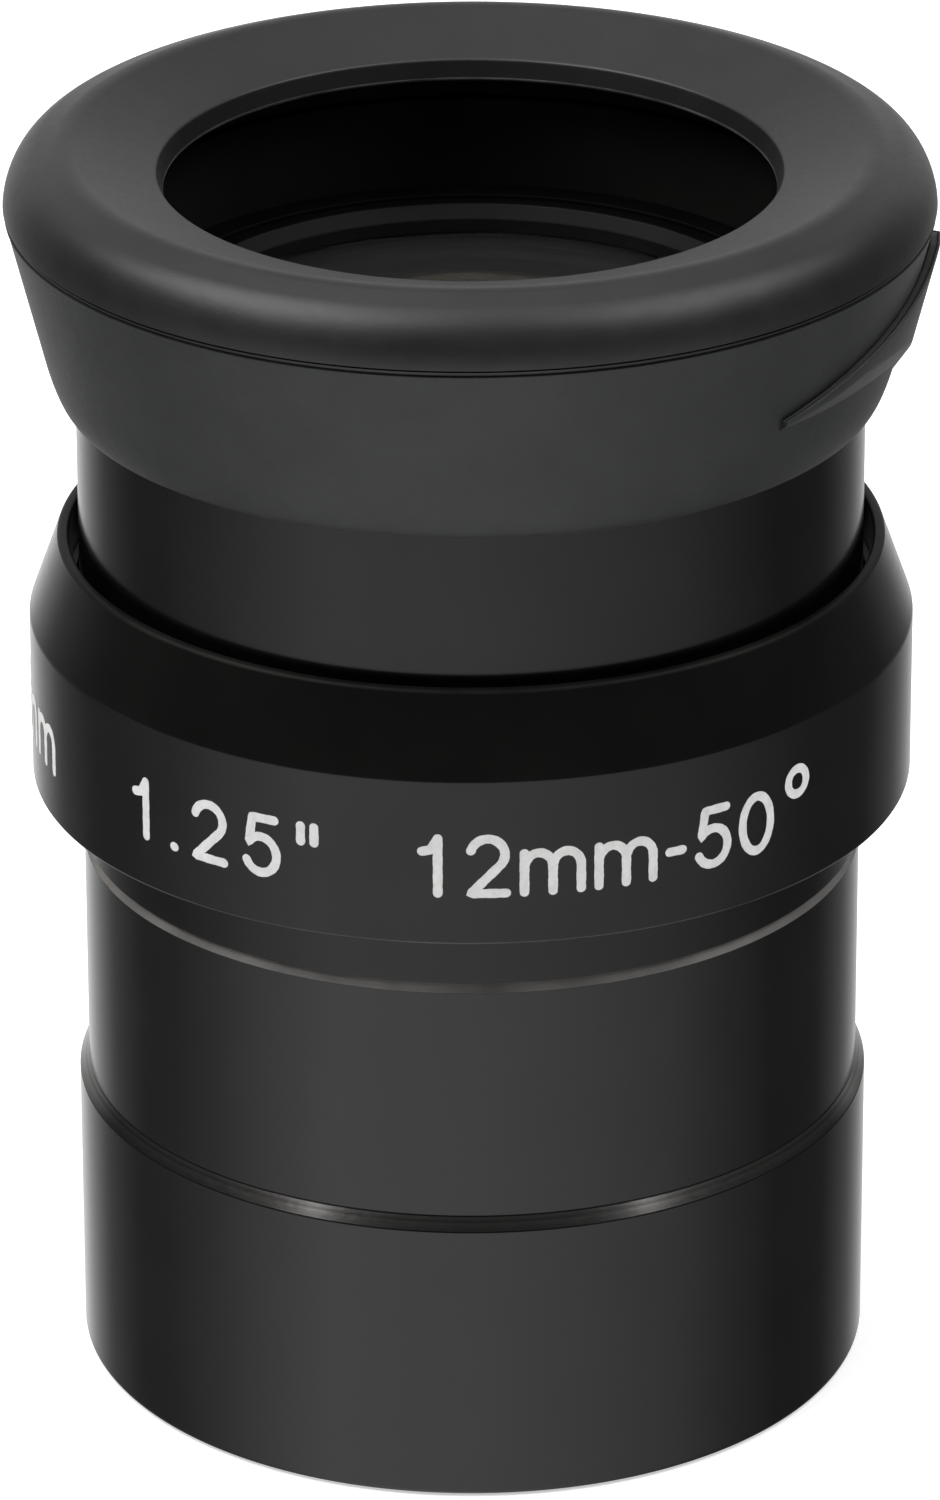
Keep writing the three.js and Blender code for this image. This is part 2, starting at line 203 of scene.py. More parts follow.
def rounded(corners, steps=4):
    """The outline through corners (radius, z, cut), each rounded by an arc that starts `cut` from it."""
    points = []
    count = len(corners)
    for i, (radius, z, cut) in enumerate(corners):
        here = Vector((radius, z))
        if cut == 0:
            points.append(here)
            continue
        back = (Vector(corners[i - 1][:2]) - here).normalized()
        ahead = (Vector(corners[(i + 1) % count][:2]) - here).normalized()
        half = back.angle(ahead) / 2
        if half > NEARLY_STRAIGHT:
            points.append(here)
            continue
        arc_radius = cut * math.tan(half)
        centre = here + (back + ahead).normalized() * (cut / math.cos(half))
        start = here + back * cut - centre
        end = here + ahead * cut - centre
        turn = start.angle_signed(end)
        for k in range(steps + 1):
            angle = -turn * k / steps
            arm = Matrix.Rotation(angle, 2) @ start
            points.append(centre + arm.normalized() * arc_radius)
    return [(p.x, p.y) for p in points]


def segment_normals(points, sharp_deg=28):
    """For each side of a closed outline, the outward normals at its two ends: shared with the neighbour
    where the outline turns gently, and weighted by length, so that a long flat side stays flat."""
    count = len(points)
    sides = [Vector(points[(i + 1) % count]) - Vector(points[i]) for i in range(count)]
    weighted = [Vector((side.y, -side.x)) for side in sides]

    def joined(a, b):
        if a.length < 1e-9 or b.length < 1e-9:
            return None
        return a + b if a.angle(b) < math.radians(sharp_deg) else None

    normals = []
    for i, own in enumerate(weighted):
        at_start = joined(weighted[i - 1], own) or own
        at_end = joined(own, weighted[(i + 1) % count]) or own
        normals.append((at_start.normalized(), at_end.normalized()))
    return normals


# ---- Meshes ----


def direction(azimuth):
    """Unit vector in the XY plane at an azimuth measured from -Y towards +X, in radians."""
    return Vector((math.sin(azimuth), -math.cos(azimuth), 0))


def link(name, vertices, faces):
    mesh = bpy.data.meshes.new(name)
    mesh.from_pydata([(x * MM, y * MM, z * MM) for x, y, z in vertices], [], faces)
    made = bpy.data.objects.new(name, mesh)
    bpy.context.scene.collection.objects.link(made)
    return made


def finish_piece(made, body, slot, materials, *nodes):
    for material in materials:
        made.data.materials.append(material)
    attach(made, body)
    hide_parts(*nodes)
    return made


def turned(name, outline, paint=None, segments=SEGMENTS):
    """A body of revolution about Z. The outline's (radius, z) points run up its outside and down its inside.
    paint(radius, z) gives the material index at the middle of an outline side."""
    vertices = []
    rings = []
    for radius, z in outline:
        first = len(vertices)
        if radius < 1e-6:
            vertices.append((0, 0, z))
            rings.append([first] * segments)
            continue
        for k in range(segments):
            spot = direction(2 * math.pi * k / segments) * radius
            vertices.append((spot.x, spot.y, z))
        rings.append(list(range(first, first + segments)))
    faces = []
    loop_normals = []
    indices = []
    for i, (at_start, at_end) in enumerate(segment_normals(outline)):
        low, high = rings[i], rings[(i + 1) % len(rings)]
        middle = (Vector(outline[i]) + Vector(outline[(i + 1) % len(outline)])) / 2
        for k in range(segments):
            after = (k + 1) % segments
            corners = ((low, k, at_start), (low, after, at_start), (high, after, at_end), (high, k, at_end))
            face = []
            normals = []
            for ring, step, normal in corners:
                if ring[step] in face:
                    continue
                face.append(ring[step])
                out = direction(2 * math.pi * step / segments)
                normals.append((out.x * normal.x, out.y * normal.x, normal.y))
            if len(face) > 2:
                faces.append(face)
                loop_normals += normals
                indices.append(paint(*middle) if paint else 0)
    made = link(name, vertices, faces)
    made.data.polygons.foreach_set("material_index", indices)
    made.data.polygons.foreach_set("use_smooth", [True] * len(faces))
    made.data.normals_split_custom_set(loop_normals)
    return made


def ring_outline(bore, radius, bottom, top, edge=EDGE):
    return rounded([(bore, bottom, edge), (radius, bottom, edge), (radius, top, edge), (bore, top, edge)])


# ---- Material helpers ----


class Surface:
    """A node material with one Principled shader and a few short ways to feed it."""

    def __init__(self, name, **sockets):
        self.material = bpy.data.materials.new(name)
        self.material.use_nodes = True
        self.tree = self.material.node_tree
        self.shader = self.tree.nodes["Principled BSDF"]
        for socket, value in sockets.items():
            self.shader.inputs[socket.replace("_", " ")].default_value = value

    def add(self, kind, settings=None, **sockets):
        made = self.tree.nodes.new("ShaderNode" + kind)
        for key, value in (settings or {}).items():
            setattr(made, key, value)
        for socket, value in sockets.items():
            target = made.inputs[socket.replace("_", " ")]
            if isinstance(value, bpy.types.NodeSocket):
                self.tree.links.new(value, target)
            else:
                target.default_value = value
        return made

    def place(self):
        """Object coordinates, in metres."""
        return self.add("TexCoord").outputs["Object"]

    def math(self, operation, first, second=0.0):
        made = self.tree.nodes.new("ShaderNodeMath")
        made.operation = operation
        for target, value in zip(made.inputs, (first, second)):
            if isinstance(value, bpy.types.NodeSocket):
                self.tree.links.new(value, target)
            else:
                target.default_value = value
        return made.outputs[0]

    def noise(self, scale, detail=2.0, roughness=0.5):
        made = self.add("TexNoise", Vector=self.place(), Scale=scale, Detail=detail, Roughness=roughness)
        return made.outputs["Fac"]

    def turned_lines(self, scale):
        """Noise that changes only along the turned profile: the fine rings that a lathe tool leaves."""
        split = self.add("SeparateXYZ", Vector=self.place())
        x, y, z = split.outputs
        squares = self.math("ADD", self.math("MULTIPLY", x, x), self.math("MULTIPLY", y, y))
        along = self.math("ADD", self.math("SQRT", squares), z)
        one_way = {"noise_dimensions": "1D"}
        made = self.add("TexNoise", one_way, W=along, Scale=scale, Detail=3.0, Roughness=0.7)
        return made.outputs["Fac"]

    def spread(self, value, low, high, into):
        """Feeds a 0-1 value into a shader socket as a number between low and high."""
        made = self.add("MapRange", Value=value, To_Min=low, To_Max=high)
        self.tree.links.new(made.outputs["Result"], self.shader.inputs[into])

    def between(self, value, start, end, low, high):
        """A value that eases from low to high as the one given goes from start to end."""
        made = self.add("MapRange", {"interpolation_type": "SMOOTHSTEP"}, Value=value)
        for socket, number in (("From Min", start), ("From Max", end), ("To Min", low), ("To Max", high)):
            made.inputs[socket].default_value = number
        return made.outputs["Result"]

    def ramp(self, value, stops):
        """A grey or coloured ramp over a 0-1 value, from (position, level or colour) stops."""
        made = self.add("ValToRGB", Fac=value)
        elements = made.color_ramp.elements
        while len(elements) < len(stops):
            elements.new(0.5)
        for element, (position, colour) in zip(elements, stops):
            element.position = position
            element.color = (*colour, 1) if isinstance(colour, tuple) else (colour, colour, colour, 1)
        return made.outputs["Color"]

    def colours(self, value, stops):
        """Feeds a 0-1 value into the base colour through a ramp of (position, colour) stops."""
        self.tree.links.new(self.ramp(value, stops), self.shader.inputs["Base Color"])

    def bump(self, *layers):
        """Bumps from (height, depth in metres) layers, one on another."""
        last = None
        for height, depth in layers:
            made = self.add("Bump", Height=height, Distance=depth, Strength=1.0)
            if last:
                self.tree.links.new(last, made.inputs["Normal"])
            last = made.outputs["Normal"]
        self.tree.links.new(last, self.shader.inputs["Normal"])


def grey(value, warmth=0.0):
    """A near-neutral colour; warmth above 0 leans to brown, below 0 to blue."""
    return (value * (1 + warmth), value, value * (1 - warmth))


# ---- Materials ----


def anodised_material(name, dark, pale, rough_low, rough_high, line_depth, gloss=0.5):
    surface = Surface(name, IOR=1.5, Specular_IOR_Level=gloss)
    surface.colours(surface.noise(300, 4), [(0.35, grey(dark, 0.04)), (0.7, grey(pale, 0.06))])
    surface.spread(surface.turned_lines(5200), rough_low, rough_high, "Roughness")
    grain = surface.noise(24000, 2)
    surface.bump((surface.turned_lines(7000), line_depth), (grain, line_depth * 0.6))
    return surface.material


def polished_edge_material():
    """The undercut's lower chamfer, cut after the black layer: thinly oxidised metal with its tool marks."""
    surface = Surface("polished_chamfer", Metallic=1.0)
    surface.colours(surface.turned_lines(16000), [(0.3, grey(0.16, 0.03)), (0.7, grey(0.3, 0.02))])
    surface.spread(surface.noise(4000, 3), 0.14, 0.22, "Roughness")
    surface.bump((surface.turned_lines(12000), 0.3e-6), (surface.noise(15000), 0.2e-6))
    return surface.material


def matte_metal_material():
    surface = Surface("matte_black_metal", IOR=1.45, Specular_IOR_Level=0.3)
    surface.colours(surface.noise(900, 4), [(0.3, grey(0.0025)), (0.75, grey(0.005, 0.05))])
    surface.spread(surface.turned_lines(3500), 0.42, 0.62, "Roughness")
    surface.bump((surface.turned_lines(5000), 2.5e-6), (surface.noise(16000), 1.0e-6))
    return surface.material


def rubber_material(name, dark, pale, warmth, rough_low, rough_high, gloss, grain_depth):
    surface = Surface(name, IOR=1.5, Specular_IOR_Level=gloss, Sheen_Weight=0.06, Sheen_Roughness=0.35)
    mottle = surface.noise(420, 5, 0.62)
    surface.colours(mottle, [(0.32, grey(dark, warmth)), (0.68, grey(pale, warmth))])
    surface.spread(surface.noise(2600, 4, 0.6), rough_low, rough_high, "Roughness")
    surface.bump((surface.noise(7500, 3, 0.6), grain_depth), (surface.noise(1300, 3), grain_depth * 2))
    return surface.material


def nylon_material():
    surface = Surface("black_nylon", IOR=1.53)
    surface.colours(surface.noise(1200, 3), [(0.3, grey(0.008)), (0.7, grey(0.014))])
    surface.spread(surface.noise(5000), 0.35, 0.5, "Roughness")
    surface.bump((surface.noise(9000), 1.5e-6))
    return surface.material


def glass_material(name, clear):
    """Polished glass under a blue-purple coating; what `clear` lacks to 1 is a pale diffuse film, a painted
    reflection that stands in for the soft grey sheen the light above leaves on the lens.
    """
    surface = Surface(name, IOR=1.52, Transmission_Weight=clear)
    surface.shader.inputs["Thin Film Thickness"].default_value = 120.0
    surface.shader.inputs["Thin Film IOR"].default_value = 1.38
    surface.colours(surface.noise(500, 3), [(0.3, (0.93, 0.96, 0.95)), (0.7, (0.97, 0.98, 0.96))])
    surface.spread(surface.noise(6000, 3), 0.0, 0.02, "Roughness")
    return surface.material


def steel_material():
    surface = Surface("screw_steel", Metallic=1.0)
    surface.colours(surface.noise(2500, 3), [(0.3, grey(0.32, 0.02)), (0.7, grey(0.42, 0.03))])
    surface.spread(surface.noise(9000), 0.28, 0.42, "Roughness")
    surface.bump((surface.noise(20000), 0.5e-6))
    return surface.material


def paint_material():
    """The pale fill of the engraved figures: slightly patchy, with a dry, grainy surface."""
    surface = Surface("figure_paint", IOR=1.45)
    surface.colours(surface.noise(2600, 5, 0.7), [(0.3, grey(0.56, 0.01)), (0.7, grey(0.7, 0.0))])
    surface.spread(surface.noise(9000, 3), 0.5, 0.75, "Roughness")
    surface.bump((surface.noise(11000, 3), 4e-6))
    return surface.material


ANODISED = anodised_material("gloss_black_anodised", 0.0018, 0.0032, 0.11, 0.19, 0.15e-6)
SOFT_ANODISED = anodised_material("satin_black_anodised", 0.0018, 0.0032, 0.12, 0.2, 0.15e-6, 0.34)
COLLAR_ANODISED = anodised_material("collar_black_anodised", 0.0035, 0.005, 0.12, 0.2, 0.15e-6, 0.34)
BLACKENED_BORE = anodised_material("blackened_bore", 0.012, 0.017, 0.3, 0.42, 0.3e-6, 0.12)
DEEP_BLACK = anodised_material("lens_housing_black", 0.002, 0.0035, 0.5, 0.65, 0.3e-6, 0.04)
# Lighter grey for the collar wall's lower rounded edge: a painted highlight, the thin light line along that
# edge.
COLLAR_EDGE_PAINTED_HIGHLIGHT = anodised_material("collar_lower_edge_painted_highlight", 0.03, 0.055, 0.3, 0.42, 0.4e-6)
# Lighter grey for the collar's lip and the eye-lens ring's mouth: a painted highlight along these rounded
# edges, where light from above catches them.
PAINTED_EDGE_HIGHLIGHT = anodised_material("anodised_edge_painted_highlight", 0.006, 0.014, 0.34, 0.46, 0.3e-6, 0.07)
LENS_RING_BLACK = anodised_material("lens_ring_black", 0.0045, 0.007, 0.6, 0.75, 0.3e-6, 0.15)
POLISHED_EDGE = polished_edge_material()
# Light grey for the barrel's top chamfer under the collar's neck: a painted highlight for the light from
# above that the chamfer catches.
SEAM_PAINTED_HIGHLIGHT = anodised_material("seam_chamfer_painted_highlight", 0.16, 0.27, 0.34, 0.48, 0.4e-6)
MATTE_METAL = matte_metal_material()
RUBBER_TOP = rubber_material("eyecup_rubber_top", 0.005, 0.009, 0.03, 0.38, 0.5, 0.5, 4e-6)
RUBBER_SKIRT = rubber_material("eyecup_rubber_skirt", 0.0145, 0.0195, -0.05, 0.46, 0.6, 0.46, 6e-6)
# A darker, less glossy copy of the eyecup rubber for the inside of the cup: painted shade.
RUBBER_INSIDE_PAINTED_SHADE = rubber_material("eyecup_rubber_inside_painted_shade", 0.004, 0.007, 0.03, 0.5, 0.65, 0.2, 4e-6)
RUBBER_EDGE = rubber_material("eyecup_rubber_edge", 0.03, 0.12, 0.03, 0.5, 0.65, 0.3, 8e-6)
NYLON = nylon_material()
GLASS = glass_material("coated_glass", 1.0)
# The eye lens's pale film is a painted reflection, standing in for the soft grey sheen of the light above.
EYE_GLASS = glass_material("eye_lens_glass", 0.987)
STEEL = steel_material()
PAINT = paint_material()


# ---- Turned metal pieces ----


def thread_points():
    """The filter thread's ridges down the bore, from the land towards the open end."""
    points = []
    for turn in reversed(range(THREAD_TURNS)):
        crest_z = THREAD_START + THREAD_PITCH * (turn + 0.5)
        quarter = THREAD_PITCH / 4
        points += [
            (THREAD_MAJOR, crest_z + 2 * quarter - 0.05, 0),
            (THREAD_MINOR, crest_z + 0.05, 0),
            (THREAD_MINOR, crest_z - 0.05, 0),
            (THREAD_MAJOR, crest_z - 2 * quarter + 0.05, 0),
        ]
    return points


def build_barrel():
    chamfer_top = BARREL_TOP - SEAM_CHAMFER
    corners = [
        (THREAD_MAJOR + 0.25, BARREL_BOTTOM, 0.05),
        (BARREL_RADIUS, BARREL_BOTTOM, 0.25),
        (BARREL_RADIUS, RELIEF_BOTTOM - RELIEF_CHAMFER, 0.05),
        (RELIEF_RADIUS, RELIEF_BOTTOM, 0.05),
        (RELIEF_RADIUS, chamfer_top, 0.03),
        (RELIEF_RADIUS - SEAM_CHAMFER, BARREL_TOP, 0.02),
        (SOCKET_RADIUS, BARREL_TOP, 0.03),
        (SOCKET_RADIUS, SOCKET_BOTTOM, 0),
        (CELL_RADIUS + THREAD_GAP, SOCKET_BOTTOM, EDGE),
        (CELL_RADIUS + THREAD_GAP, LAND_TOP, 0),
        (LAND_RADIUS, LAND_TOP, EDGE),
        (LAND_RADIUS, THREAD_START + THREAD_PITCH * THREAD_TURNS + 0.4, 0.2),
        *thread_points(),
        (THREAD_MAJOR, BARREL_BOTTOM + 0.25, 0),
    ]

    def paint(radius, z):
        if radius < SOCKET_RADIUS + 0.01:
            return 2
        # The seam chamfer takes a light grey: a painted highlight for the light from above that this upward
        # facing chamfer catches.
        if chamfer_top < z < BARREL_TOP and radius > SOCKET_RADIUS + 0.05:
            return 3
        return 1 if RELIEF_BOTTOM - RELIEF_CHAMFER + 0.05 < z < RELIEF_BOTTOM - 0.05 else 0

    made = turned("barrel_tube", rounded(corners), paint)
    finishes = [ANODISED, POLISHED_EDGE, MATTE_METAL, SEAM_PAINTED_HIGHLIGHT]
    finish_piece(made, FIXED, "gloss_black_anodised", finishes, "barrel")


def build_collar():
    corners = [
        (HOUSING_SEAT_RADIUS, SPIGOT_BOTTOM, EDGE),
        (SOCKET_RADIUS - THREAD_GAP, SPIGOT_BOTTOM, 0.2),
        (SOCKET_RADIUS - THREAD_GAP, NECK_BOTTOM, 0),
        (RELIEF_RADIUS, NECK_BOTTOM, 0.04),
        (RELIEF_RADIUS, WALL_BOTTOM, 0),
        (WALL_RADIUS, WALL_BOTTOM, 0.16),
        (WALL_RADIUS, WALL_TOP, 0.1),
        (LIP_OUTER_RADIUS, LIP_Z, 0.14),
        (WELL_RADIUS, LIP_Z, 0.14),
        (WELL_RADIUS, GLIDE_TOP + 0.08, 0),
        (GLIDE_RADIUS + THREAD_GAP, GLIDE_TOP + 0.08, 0),
        (GLIDE_RADIUS + THREAD_GAP, GLIDE_BOTTOM - 0.08, 0),
        (WELL_RADIUS, GLIDE_BOTTOM - 0.08, 0),
        (WELL_RADIUS, WELL_FLOOR, 0),
        (HOUSING_SEAT_RADIUS, WELL_FLOOR, EDGE),
    ]

    def paint(radius, z):
        # The lip takes a lighter grey, a painted highlight along its rounded top.
        on_lip = z > LIP_Z - 0.12 and radius > WELL_RADIUS
        # The wall's lower edge takes a lighter grey too, a painted highlight along its rounding.
        on_lower_edge = radius > WALL_RADIUS - 0.1 and WALL_BOTTOM + 0.01 < z < WALL_BOTTOM + 0.09
        inside = radius < RELIEF_RADIUS - 0.01 and z > NECK_BOTTOM + 0.5
        if on_lip:
            return 1
        if on_lower_edge:
            return 3
        return 2 if inside else 0

    made = turned("collar_body", rounded(corners), paint)
    finishes = [COLLAR_ANODISED, PAINTED_EDGE_HIGHLIGHT, MATTE_METAL, COLLAR_EDGE_PAINTED_HIGHLIGHT]
    finish_piece(made, FIXED, "gloss_black_anodised", finishes, "main_body")


def build_sleeve():
    corners = [
        (SLEEVE_BORE, SLEEVE_BOTTOM, EDGE),
        (SLEEVE_STOP_RADIUS, SLEEVE_BOTTOM, EDGE),
        (SLEEVE_STOP_RADIUS, SLEEVE_BOTTOM + STOP_HEIGHT, EDGE),
        (SLEEVE_RADIUS, SLEEVE_BOTTOM + STOP_HEIGHT, 0),
        (SLEEVE_RADIUS, SLEEVE_TOP, 0.2),
        (SLEEVE_BORE, SLEEVE_TOP, EDGE),
    ]

    def paint(radius, z):
        return 1 if radius < SLEEVE_BORE + 0.01 else 0

    made = turned("sliding_tube", rounded(corners), paint)
    finish_piece(made, SLIDING, "gloss_black_anodised", [SOFT_ANODISED, BLACKENED_BORE], "sleeve")


def build_housing():
    corners = [
        (HOUSING_THROAT, HOUSING_BOTTOM, EDGE),
        (HOUSING_RADIUS, HOUSING_BOTTOM, 0.2),
        (HOUSING_RADIUS, HOUSING_TOP, 0.2),
        (HOUSING_BORE, HOUSING_TOP, EDGE),
        (HOUSING_BORE, HOUSING_SHOULDER_Z, 0),
        (HOUSING_THROAT, HOUSING_SHOULDER_Z, EDGE),
    ]
    made = turned("housing_tube", rounded(corners))
    finish_piece(made, FIXED, "matte_black_metal", [DEEP_BLACK], "lens_housing")


def build_rings():
    retainer = rounded(
        [
            (RETAINER_BORE, RETAINER_BOTTOM, EDGE),
            (RETAINER_RADIUS, RETAINER_BOTTOM, EDGE),
            (RETAINER_RADIUS, RETAINER_TOP, 0.12),
            (RETAINER_MOUTH, RETAINER_TOP, 0.05),
            (RETAINER_BORE, RETAINER_TOP - RETAINER_MOUTH_DEPTH, 0.05),
        ]
    )

    def paint(radius, z):
        if radius < RETAINER_MOUTH - 0.03:
            return 1
        # The mouth's edge takes a lighter grey: a painted highlight along it.
        return 2 if radius < RETAINER_MOUTH + 0.04 and z > RETAINER_TOP - 0.04 else 0

    made = turned("eye_lens_ring", retainer, paint)
    finishes = [DEEP_BLACK, LENS_RING_BLACK, PAINTED_EDGE_HIGHLIGHT]
    finish_piece(made, FIXED, "matte_black_metal", finishes, "eye_lens_retaining_ring")

    cell = rounded(
        [
            (CELL_BORE, CELL_BOTTOM, 0.2),
            (CELL_RADIUS, CELL_BOTTOM, 0.2),
            (CELL_RADIUS, CELL_TOP, EDGE),
            (CELL_THROAT, CELL_TOP, EDGE),
            (CELL_THROAT, CELL_SEAT_Z, EDGE),
            (CELL_BORE, CELL_SEAT_Z, 0),
        ]
    )
    made = turned("lower_cell", cell)
    finish_piece(made, FIXED, "matte_black_metal", [MATTE_METAL], "lower_lens_cell")

    outline = ring_outline(CELL_RING_BORE, CELL_RING_RADIUS, CELL_RING_BOTTOM, CELL_RING_TOP, 0.15)
    made = turned("lower_cell_ring", outline)
    finish_piece(made, FIXED, "matte_black_metal", [MATTE_METAL], "lower_lens_retaining_ring")

    outline = ring_outline(STOP_RING_BORE, STOP_RING_RADIUS, STOP_RING_BOTTOM, STOP_RING_TOP)
    made = turned("field_stop_ring", outline)
    finish_piece(made, FIXED, "matte_black_metal", [MATTE_METAL], "field_stop")

    for node in SPACERS:
        radius, bottom, top = extent(node)
        made = turned(node + "_tube", ring_outline(SPACER_BORE, radius, bottom, top))
        finish_piece(made, FIXED, "matte_black_metal", [MATTE_METAL], node)


def build_glide_ring():
    """A split ring: the outline swept round all but the narrow gap on the far side."""
    outline = ring_outline(GLIDE_BORE, GLIDE_RADIUS, GLIDE_BOTTOM, GLIDE_TOP, 0.1)
    half_gap = math.asin(GLIDE_SPLIT / 2 / GLIDE_RADIUS)
    sweep = 2 * math.pi - 2 * half_gap
    vertices = []
    for k in range(SEGMENTS + 1):
        out = direction(-math.pi + half_gap + sweep * k / SEGMENTS)
        vertices += [(out.x * radius, out.y * radius, z) for radius, z in outline]
    made = link("glide_band", vertices, swept_faces(len(outline), SEGMENTS))
    shade(made, 35)
    finish_piece(made, FIXED, "black_nylon", [NYLON], "glide_ring")


def swept_faces(count, steps):
    """Faces between steps + 1 rings of `count` points, with a flat cap at each end."""
    faces = [list(range(count)), list(range(steps * count, (steps + 1) * count))[::-1]]
    for k in range(steps):
        for i in range(count):
            j = (i + 1) % count
            faces.append([k * count + i, (k + 1) * count + i, (k + 1) * count + j, k * count + j])
    return faces


def shade(made, sharp_deg):
    """Smooth shading but for the edges sharper than an angle."""
    made.data.polygons.foreach_set("use_smooth", [True] * len(made.data.polygons))
    made.data.set_sharp_from_angle(angle=math.radians(sharp_deg))


# ---- Optics ----


def lens_face(radius, rim_z, sag, steps=24):
    """Points of a spherical face from the axis out to the rim."""
    if sag == 0:
        return [(0, rim_z), (radius, rim_z)]
    sphere = (radius**2 + sag**2) / (2 * abs(sag))
    points = []
    for k in range(steps + 1):
        r = radius * k / steps
        drop = sphere - math.sqrt(sphere**2 - r**2)
        points.append((r, rim_z + sag - math.copysign(drop, sag)))
    return points


def build_lenses():
    for node, radius, bottom, top, bulge_below, bulge_above in LENSES:
        below = lens_face(radius, bottom, -bulge_below)
        above = lens_face(radius, top, bulge_above)[::-1]
        made = turned(node + "_glass", below + above, segments=128)
        glass = EYE_GLASS if node == "eye_lens" else GLASS
        finish_piece(made, FIXED, "coated_glass", [glass], node)


# ---- Rubber eyecup ----


def skirt_radius(z):
    share = (z - SKIRT_FOOT_Z) / (RIM_Z - SKIRT_FOOT_Z)
    return SKIRT_FOOT_RADIUS + share * (RIM_RADIUS - SKIRT_FOOT_RADIUS)


def foot_bend(steps=14):
    """The soft curve from the skirt's underside up into its slope, whose tangents meet at one corner."""
    start = Vector((CUP_BORE + FOOT_WIDTH, CUP_FOOT_Z))
    corner = Vector((skirt_radius(FOOT_CORNER_Z) - 0.05, CUP_FOOT_Z + 0.02))
    end = Vector((skirt_radius(FOOT_BEND_TOP), FOOT_BEND_TOP))
    points = []
    for k in range(steps + 1):
        t = k / steps
        point = start * (1 - t) ** 2 + corner * 2 * t * (1 - t) + end * t**2
        points.append((point.x, point.y))
    return points


def rolled_rim(steps=26):
    """The bend from the rim up to the shoulder, as a cubic curve."""
    crest = Vector((CREST_RADIUS, CUP_CREST_Z))
    shoulder = Vector((SHOULDER_RADIUS, SHOULDER_Z))
    rim = Vector((RIM_RADIUS, RIM_Z))
    rim_handle = rim + Vector((0, RIM_PULL))
    shoulder_handle = shoulder + (shoulder - crest).normalized() * SHOULDER_PULL
    knots = [knot.to_3d() for knot in (rim, rim_handle, shoulder_handle, shoulder)]
    return [(point.x, point.y) for point in interpolate_bezier(*knots, steps + 1)]


def parting_band():
    """The mould's parting line: the skirt's fine top edge, a groove, a narrow band and a second groove."""
    low = RIM_Z - PARTING_BAND
    edge = skirt_radius(low)
    return [
        (edge - 0.035, low - 0.14),
        (edge + 0.01, low - 0.06),
        (edge + 0.01, low - 0.03),
        (edge - 0.12, low),
        (edge - 0.12, low + 0.05),
        (edge - 0.03, low + 0.07),
        (RIM_RADIUS - 0.06, RIM_Z - 0.09),
        (RIM_RADIUS - 0.15, RIM_Z - 0.07),
        (RIM_RADIUS - 0.15, RIM_Z - 0.02),
        (RIM_RADIUS - 0.03, RIM_Z - 0.01),
    ]


def build_eyecup():
    opening = rounded(
        [
            (SHOULDER_RADIUS, SHOULDER_Z, 0),
            (CREST_RADIUS, CUP_CREST_Z, 0.4),
            (OPENING_RADIUS, OPENING_Z, 0.1),
            (LIP_INNER_RADIUS, OPENING_Z - LIP_THICKNESS, 0.16),
            (CAVITY_RADIUS, CAVITY_TOP, 0.2),
            (CAVITY_RADIUS, SLEEVE_TOP + SEAT_GAP, 0),
            (CUP_BORE, SLEEVE_TOP + SEAT_GAP, 0),
            (CUP_BORE, CUP_FOOT_Z, 0),
        ],
        steps=7,
    )
    outline = [*foot_bend(), *parting_band(), *rolled_rim(), *opening[1:]]

    def paint(radius, z):
        if radius < LIP_INNER_RADIUS + 0.09 and z < OPENING_Z - LIP_THICKNESS + 0.16:
            return 3
        # The inner lip and the cavity take a darker, less glossy copy of the rubber: painted shade inside the
        # cup.
        if radius < OPENING_RADIUS or (radius < CAVITY_RADIUS + 0.05 and z < CAVITY_TOP + 0.05):
            return 2
        return 1 if z < RIM_Z - PARTING_BAND + 0.02 and radius > CUP_BORE + 0.05 else 0

    made = turned("eyecup_shell", outline, paint)
    finishes = [RUBBER_TOP, RUBBER_SKIRT, RUBBER_INSIDE_PAINTED_SHADE, RUBBER_EDGE]
    finish_piece(made, TURNING, "eyecup_rubber", finishes, "rubber_eyecup")


def wing_section(share):
    """One section of the wing as (radius, z) points, at a share from 0 at its tip to 1 at full height."""
    foot = WING_TIP_FOOT_Z - (WING_TIP_FOOT_Z - WING_FOOT_Z) * share**4
    top = WING_TIP_TOP_Z + (WING_TOP_Z - WING_TIP_TOP_Z) * share
    proud = WING_TIP_PROUD + (WING_PROUD - WING_TIP_PROUD) * share
    slope = min(WING_FOOT_SLOPE, 0.6 * (top - foot))
    skirt = skirt_radius(top)
    outer = skirt + proud
    ridge = 0.1  # width of each of the two ridges along the free edge, which a groove parts
    corners = [
        (skirt_radius(foot) - WING_EMBED, foot, 0),
        (skirt_radius(foot) - 0.03, foot, 0),
        (skirt_radius(foot + slope) + proud, foot + slope, 0.12),
        (outer, top - 0.03, 0.05),
        (outer - ridge, top, 0.03),
        (outer - ridge - 0.04, top - WING_GROOVE, 0.02),
        (skirt + ridge + 0.04, top - WING_GROOVE, 0.02),
        (skirt + ridge, top, 0.02),
        (skirt + 0.03, top - 0.02, 0.02),
        (skirt - 0.01, top - WING_SLIT, 0.01),
        (skirt - WING_EMBED, top - WING_SLIT, 0),
    ]
    return rounded(corners)


